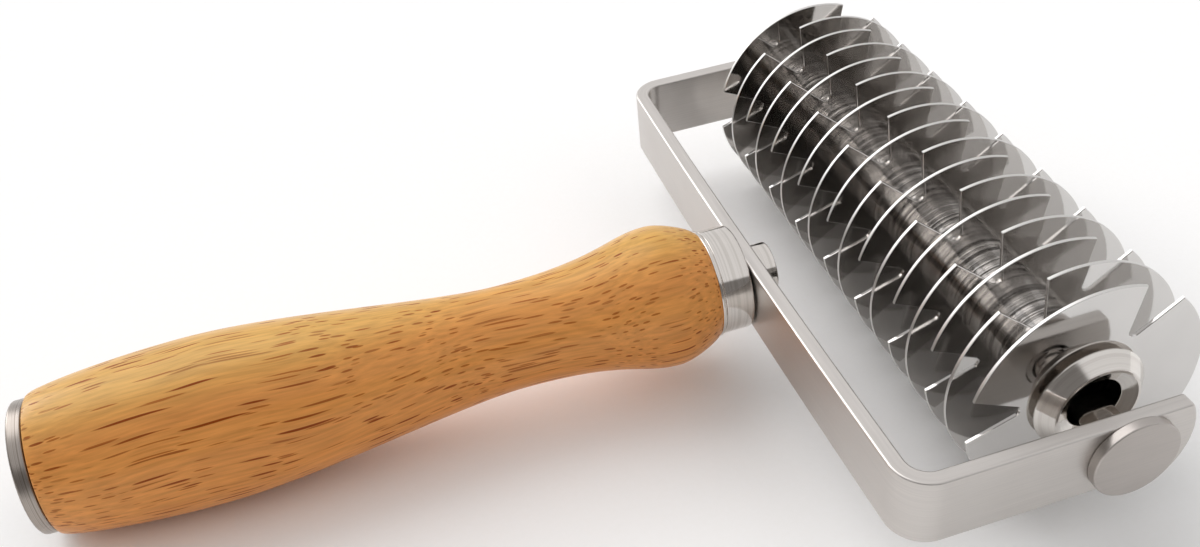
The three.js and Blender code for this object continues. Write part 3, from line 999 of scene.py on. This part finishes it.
# %% Axle and buttons
AXLE_SIDES = 96
AXLE_RADIUS = 3.2
AXLE_HALF = 69.4
ARM_INSIDE = 67
BUTTON_RADIUS = 8.2
BUTTON_TOP = 5
BUTTON_EDGE = 0.25
BUTTON_SOCKET = 2.7
SOCKET_RADIUS = 3.5
SHANK_RADIUS = 4.7

axle_corners = [
    (0, -AXLE_HALF, SHARP),
    (AXLE_RADIUS, -AXLE_HALF, SOFT),
    (AXLE_RADIUS, AXLE_HALF, SOFT),
    (0, AXLE_HALF, SHARP),
]
axle = turned("axle_rod", soften(axle_corners, False), AXLE_SIDES, COLLAR_STEEL)
settle(axle, carried_frame @ lathe_along_axle)
dress(axle, "handle_frame", "polished_steel", "axle")

button_corners = [
    (0, BUTTON_SOCKET, SHARP),
    (SOCKET_RADIUS, BUTTON_SOCKET, BROKEN),
    (SOCKET_RADIUS, 0, EASED),
    (SHANK_RADIUS, 0, EASED),
    (SHANK_RADIUS, BAR_THICKNESS, BROKEN),
    (BUTTON_RADIUS, BAR_THICKNESS, BUTTON_EDGE),
    (BUTTON_RADIUS, BUTTON_TOP, SOFT),
    (0, BUTTON_TOP, SHARP),
]
for side, turn in (("right", 0), ("left", math.pi)):
    button = turned(f"button_{side}", soften(button_corners, False), AXLE_SIDES, BUTTON_STEEL)
    outward = carried_frame @ Matrix.Rotation(turn, 4, "Z") @ lathe_along_axle
    settle(button, outward @ Matrix.Translation((0, ARM_INSIDE, 0)))
    dress(button, "handle_frame", "satin_steel", f"axle_button_{side}")

# %% [markdown]
# ## A row along the axle
# Seventeen discs and sixteen spacers alternate along the roller. A second tree of nodes repeats one
# piece along a line, centred on the roller, and can turn every other one: the notches of
# neighbouring discs are half a step apart, so that the cuts lie staggered and open to a lattice.

# %% Row tree
def row_tree():
    tree = bpy.data.node_groups.new("row_along_the_axle", "GeometryNodeTree")
    sockets = tree.interface
    sockets.new_socket("Piece", in_out="INPUT", socket_type="NodeSocketGeometry")
    sockets.new_socket("Count", in_out="INPUT", socket_type="NodeSocketInt")
    sockets.new_socket("Pitch", in_out="INPUT", socket_type="NodeSocketFloat")
    sockets.new_socket("Every Other Turn", in_out="INPUT", socket_type="NodeSocketFloat")
    sockets.new_socket("Finish", in_out="INPUT", socket_type="NodeSocketMaterial")
    sockets.new_socket("Row", in_out="OUTPUT", socket_type="NodeSocketGeometry")
    given = add(tree, "NodeGroupInput")
    gaps = add(tree, "ShaderNodeMath", {0: given.outputs["Count"], 1: 1}, operation="SUBTRACT")
    length = add(tree, "ShaderNodeMath", {
        0: gaps.outputs["Value"],
        1: given.outputs["Pitch"],
    }, operation="MULTIPLY")
    start = add(tree, "ShaderNodeMath", {0: length.outputs["Value"], 1: -0.5}, operation="MULTIPLY")
    first = add(tree, "ShaderNodeCombineXYZ", {"X": start.outputs["Value"]})
    stride = add(tree, "ShaderNodeCombineXYZ", {"X": given.outputs["Pitch"]})
    places = add(tree, "GeometryNodeMeshLine", {
        "Count": given.outputs["Count"],
        "Start Location": first.outputs["Vector"],
        "Offset": stride.outputs["Vector"],
    }, mode="OFFSET")
    index = add(tree, "GeometryNodeInputIndex")
    other = add(tree, "ShaderNodeMath", {0: index.outputs["Index"], 1: 2}, operation="MODULO")
    turn = add(tree, "ShaderNodeMath", {
        0: other.outputs["Value"],
        1: given.outputs["Every Other Turn"],
    }, operation="MULTIPLY")
    angles = add(tree, "ShaderNodeCombineXYZ", {"X": turn.outputs["Value"]})
    rotation = add(tree, "FunctionNodeEulerToRotation", {"Euler": angles.outputs["Vector"]})
    row = add(tree, "GeometryNodeInstanceOnPoints", {
        "Points": places.outputs["Mesh"],
        "Instance": given.outputs["Piece"],
        "Rotation": rotation.outputs["Rotation"],
    })
    real = add(tree, "GeometryNodeRealizeInstances", {"Geometry": row.outputs["Instances"]})
    dressed = add(tree, "GeometryNodeSetMaterial", {
        "Geometry": real.outputs["Geometry"],
        "Material": given.outputs["Finish"],
    })
    add(tree, "NodeGroupOutput", {"Row": dressed.outputs["Geometry"]})
    return tree


ROW = row_tree()
print("nodes in the row:", len(ROW.nodes))

# %% [markdown]
# ## The cutting discs
# A disc is a thin sheet with three V notches, which have rounded bottoms. Its outline is drawn
# once, pulled in a little at both faces for a broken edge, and joined to its bore by strips that
# run straight to the middle, which the outline allows all the way round.

# %% One disc
DISC_COUNT = 17
DISC_PITCH = 7.05
DISC_RADIUS = 23.1
DISC_THICKNESS = 0.7
DISC_EDGE = 0.1
RING_BORE = 6.8
NOTCH_COUNT = 3
NOTCH_WIDTH = 9.6
NOTCH_BOTTOM = 12.9
NOTCH_FILLET = 1.2
NOTCH_TURN = math.radians(57.2)
RIM_STEPS = 44
FILLET_STEPS = 12


def disc_outline():
    pitch = 2 * math.pi / NOTCH_COUNT
    half_mouth = math.asin(NOTCH_WIDTH / 2 / DISC_RADIUS)
    fillet_place = NOTCH_BOTTOM + NOTCH_FILLET
    mouth = Vector((DISC_RADIUS * math.cos(half_mouth) - fillet_place, NOTCH_WIDTH / 2))
    tangent = math.atan2(mouth.y, mouth.x) + math.acos(NOTCH_FILLET / mouth.length)
    outline = []
    for notch in range(NOTCH_COUNT):
        for step in range(RIM_STEPS + 1):
            angle = notch * pitch + half_mouth + (pitch - 2 * half_mouth) * step / RIM_STEPS
            outline.append(DISC_RADIUS * Vector((math.cos(angle), math.sin(angle))))
        opening = (notch + 1) * pitch
        centre = fillet_place * Vector((math.cos(opening), math.sin(opening)))
        for step in range(FILLET_STEPS + 1):
            angle = opening - tangent - 2 * (math.pi - tangent) * step / FILLET_STEPS
            outline.append(centre + NOTCH_FILLET * Vector((math.cos(angle), math.sin(angle))))
    return outline


def pulled_in(outline, amount):
    moved = []
    for number, here in enumerate(outline):
        into = (here - outline[number - 1]).normalized().orthogonal()
        away = (outline[(number + 1) % len(outline)] - here).normalized().orthogonal()
        moved.append(here + (into + away) * amount / (1 + into.dot(away)))
    return moved


rim = disc_outline()
edge = pulled_in(rim, DISC_EDGE)
bore = [RING_BORE * point.normalized() for point in rim]
half = DISC_THICKNESS / 2
rings = [
    (bore, -half),
    (edge, -half),
    (rim, DISC_EDGE - half),
    (rim, half - DISC_EDGE),
    (edge, half),
    (bore, half),
]
disc_corners = [(place, *point) for ring, place in rings for point in ring]
disc_faces = []
for ring in range(len(rings)):
    next_ring = (ring + 1) % len(rings)
    for number in range(len(rim)):
        following = (number + 1) % len(rim)
        disc_faces.append([
            ring * len(rim) + number,
            ring * len(rim) + following,
            next_ring * len(rim) + following,
            next_ring * len(rim) + number,
        ])
discs = new_piece("cutting_discs", disc_corners, [], disc_faces)
discs.data.transform(Matrix.Rotation(NOTCH_TURN, 4, "X"))
print("corners round a disc:", len(rim))

# %% Row of discs
run_tree(discs, ROW, **{
    "Count": DISC_COUNT,
    "Pitch": DISC_PITCH,
    "Every Other Turn": math.pi / NOTCH_COUNT,
    "Finish": SHEET,
})
settle(discs, roller_frame)
disc_nodes = [f"blade_{number:02d}" for number in range(1, DISC_COUNT + 1)]
dress(discs, "roller", "polished_steel", *disc_nodes)

# %% [markdown]
# ## Spacers and end collars
# Short turned tubes keep the discs apart. At each end a collar closes the stack: it flares out
# beside the last disc and narrows again to a thin lip round its dished front, which shows the axle.
# The first spacer comes off the lathe, and the row tree repeats it.

# %% Row of spacers
SPACER_RADIUS = 8.3
SPACER_HALF = (DISC_PITCH - DISC_THICKNESS) / 2
spacer_corners = [
    (RING_BORE, -SPACER_HALF, BROKEN),
    (SPACER_RADIUS, -SPACER_HALF, SOFT),
    (SPACER_RADIUS, SPACER_HALF, SOFT),
    (RING_BORE, SPACER_HALF, BROKEN),
]
spacers = turned("disc_spacers", soften(spacer_corners, True), AXLE_SIDES, ROLLER_STEEL)
spacers.data.transform(lathe_along_axle)
run_tree(spacers, ROW, **{
    "Count": DISC_COUNT - 1,
    "Pitch": DISC_PITCH,
    "Every Other Turn": 0,
    "Finish": ROLLER_STEEL,
})
settle(spacers, roller_frame)
spacer_nodes = [f"spacer_{number:02d}" for number in range(1, DISC_COUNT)]
dress(spacers, "roller", "polished_steel", *spacer_nodes)

# %% Collars
STACK_HALF = 56.75
COLLAR_LENGTH = 3.85
COLLAR_RADIUS = 10.8
FLARE_REAR = 0.9
FLARE_FRONT = 1.2
FLARE_EDGE = 0.12
LIP_EDGE = 0.15
LIP_RADIUS = 7.8
DISH_PLACE = 2.6
COLLAR_SOCKET = 2
BORE_RADIUS = 5.3
collar_corners = [
    (RING_BORE, 0, BROKEN),
    (SPACER_RADIUS, 0, BROKEN),
    (COLLAR_RADIUS, FLARE_REAR, BROKEN),
    (COLLAR_RADIUS, FLARE_FRONT, FLARE_EDGE),
    (SPACER_RADIUS, COLLAR_LENGTH, LIP_EDGE),
    (LIP_RADIUS, COLLAR_LENGTH, LIP_EDGE),
    (BORE_RADIUS, DISH_PLACE, EASED),
    (BORE_RADIUS, COLLAR_SOCKET, BROKEN),
    (RING_BORE, COLLAR_SOCKET, BROKEN),
]
for side, turn in (("right", 0), ("left", math.pi)):
    collar = turned(f"collar_{side}", soften(collar_corners, True), AXLE_SIDES, COLLAR_STEEL)
    outward = roller_frame @ Matrix.Rotation(turn, 4, "Z") @ lathe_along_axle
    settle(collar, outward @ Matrix.Translation((0, STACK_HALF, 0)))
    dress(collar, "roller", "polished_steel", f"end_collar_{side}")

# %% [markdown]
# ## Pieces that hardly show
# The roller's core and the tang rod lie inside other pieces. Their solids are good enough as they
# are, and only get a finish.

# %% Core and rod
for node, finish in (("roller_core", ROLLER_STEEL), ("tang_rod", FERRULE_STEEL)):
    mesh = frame["nodes"][node].data
    mesh.materials.clear()
    mesh.materials.append(finish)
    print(node, "keeps its solid")

# %% [markdown]
# ## Table and light
# The tool lies on white card under a large soft light. The light comes from a tent of cloth over
# the tool and to its left, so polished steel has something bright to mirror. A lamp behind the
# cloth, to the left and rear, makes one side of it brighter and lays a soft shadow to the right. A
# smaller lamp, lower down, puts a streak on the spacers. To the right the room is open and darker,
# which draws the dark streaks that make steel look polished.

# %% Table
TABLE_HALF = 8
TABLE_DROP = 0.1 * MM
CARD_FIBRES_PER_METRE = 900
table_corners = [
    (-TABLE_HALF, -TABLE_HALF, -TABLE_DROP),
    (TABLE_HALF, -TABLE_HALF, -TABLE_DROP),
    (TABLE_HALF, TABLE_HALF, -TABLE_DROP),
    (-TABLE_HALF, TABLE_HALF, -TABLE_DROP),
]
table = new_piece("white_table", table_corners, [], [(0, 1, 2, 3)])
card_finish, tree, card, place = new_finish("white_card")
fibres = add(tree, "ShaderNodeTexNoise", {
    "Vector": place,
    "Scale": CARD_FIBRES_PER_METRE,
    "Detail": 2,
})
card_tone = add(tree, "ShaderNodeMix", {
    "Factor": fibres.outputs["Fac"],
    MIX_A: linear("#fbfbfa"),
    MIX_B: linear("#fefefe"),
}, data_type="RGBA")
tree.links.new(card_tone.outputs[MIX_RESULT], card.inputs["Base Color"])
card.inputs["Roughness"].default_value = 0.9
card.inputs["Specular IOR Level"].default_value = 0
table.data.materials.append(card_finish)
print("table is", 2 * TABLE_HALF, "m across")

# %% Tent of light
TENT_LEAN = math.radians(41)
TENT_SIDE = Vector((0.9, -0.44, 0)).normalized()
TENT_EDGE = 0.04  # half the width of its soft edge, as a cosine
TENT_BRIGHT = linear("#e8e7e7")
ROOM_DARK = linear("#7c7977")
LAMPS = (  # direction, cosines of the angle to its rim and to its core, and what its core adds
    (Vector((-0.56, -0.28, 0.78)), 0.86, 0.97, 2.2),
    (Vector((-0.72, -0.6, 0.35)), 0.95, 0.985, 4.6),
)
MIRROR_BOUNCES = 24  # light goes to and fro between the discs many times before it gets out

tent_axis = Vector((0, 0, math.cos(TENT_LEAN))) - TENT_SIDE * math.sin(TENT_LEAN)
world = bpy.data.worlds.new("light_tent")
bpy.context.scene.world = world
world.use_nodes = True
tree = world.node_tree
tree.nodes.clear()
towards = add(tree, "ShaderNodeTexCoord").outputs["Generated"]
inside = add(tree, "ShaderNodeVectorMath", {0: towards, 1: tent_axis}, operation="DOT_PRODUCT")
cloth = add(tree, "ShaderNodeMapRange", {
    "Value": inside.outputs["Value"],
    "From Min": -TENT_EDGE,
    "From Max": TENT_EDGE,
}, interpolation_type="SMOOTHSTEP")
glow = add(tree, "ShaderNodeMix", {
    "Factor": cloth.outputs["Result"],
    MIX_A: ROOM_DARK,
    MIX_B: TENT_BRIGHT,
}, data_type="RGBA")
strength = 1
for side, lamp_rim, lamp_core, gain in LAMPS:
    nearness = add(tree, "ShaderNodeVectorMath", {
        0: towards,
        1: side.normalized(),
    }, operation="DOT_PRODUCT")
    lamp = add(tree, "ShaderNodeMapRange", {
        "Value": nearness.outputs["Value"],
        "From Min": lamp_rim,
        "From Max": lamp_core,
        "To Max": gain,
    }, interpolation_type="SMOOTHSTEP")
    strength = add(tree, "ShaderNodeMath", {
        0: strength,
        1: lamp.outputs["Result"],
    }, operation="ADD").outputs["Value"]
background = add(tree, "ShaderNodeBackground", {
    "Color": glow.outputs[MIX_RESULT],
    "Strength": strength,
})
add(tree, "ShaderNodeOutputWorld", {"Surface": background.outputs["Background"]})
bpy.context.scene.view_settings.view_transform = "Standard"
bpy.context.scene.cycles.max_bounces = MIRROR_BOUNCES
bpy.context.scene.cycles.glossy_bounces = MIRROR_BOUNCES
print("tent axis:", [round(part, 2) for part in tent_axis])

# %% [markdown]
# ## Camera
# The camera stands to the right of the handle and looks down across it to the roller. Its place and
# its three directions are given in the tool's straight axes, in millimetres, and laid down with it.

# %% Camera
CAMERA_PLACE = Vector((183.77, -114.382, 158.636))
CAMERA_RIGHT = Vector((0.298175, 0.950405, -0.088437))
CAMERA_UP = Vector((-0.576899, 0.253253, 0.776563))
CAMERA_BACK = Vector((0.760447, -0.180533, 0.623802))
FOCAL_PIXELS = 1236.11
PHOTO_WIDTH = 1200
SENSOR = 36
NEAR_CLIP = 0.01
FAR_CLIP = 50
lens = bpy.data.cameras.new("studio_camera")
lens.sensor_fit = "HORIZONTAL"
lens.sensor_width = SENSOR
lens.lens = FOCAL_PIXELS / PHOTO_WIDTH * SENSOR
lens.clip_start = NEAR_CLIP
lens.clip_end = FAR_CLIP
camera = bpy.data.objects.new("studio_camera", lens)
bpy.context.scene.collection.objects.link(camera)
directions = Matrix((CAMERA_RIGHT, CAMERA_UP, CAMERA_BACK)).transposed().to_4x4()
camera.matrix_world = laid_down @ Matrix.Translation(CAMERA_PLACE * MM) @ directions
bpy.context.scene.camera = camera
print("focal length:", round(lens.lens, 2), "mm")
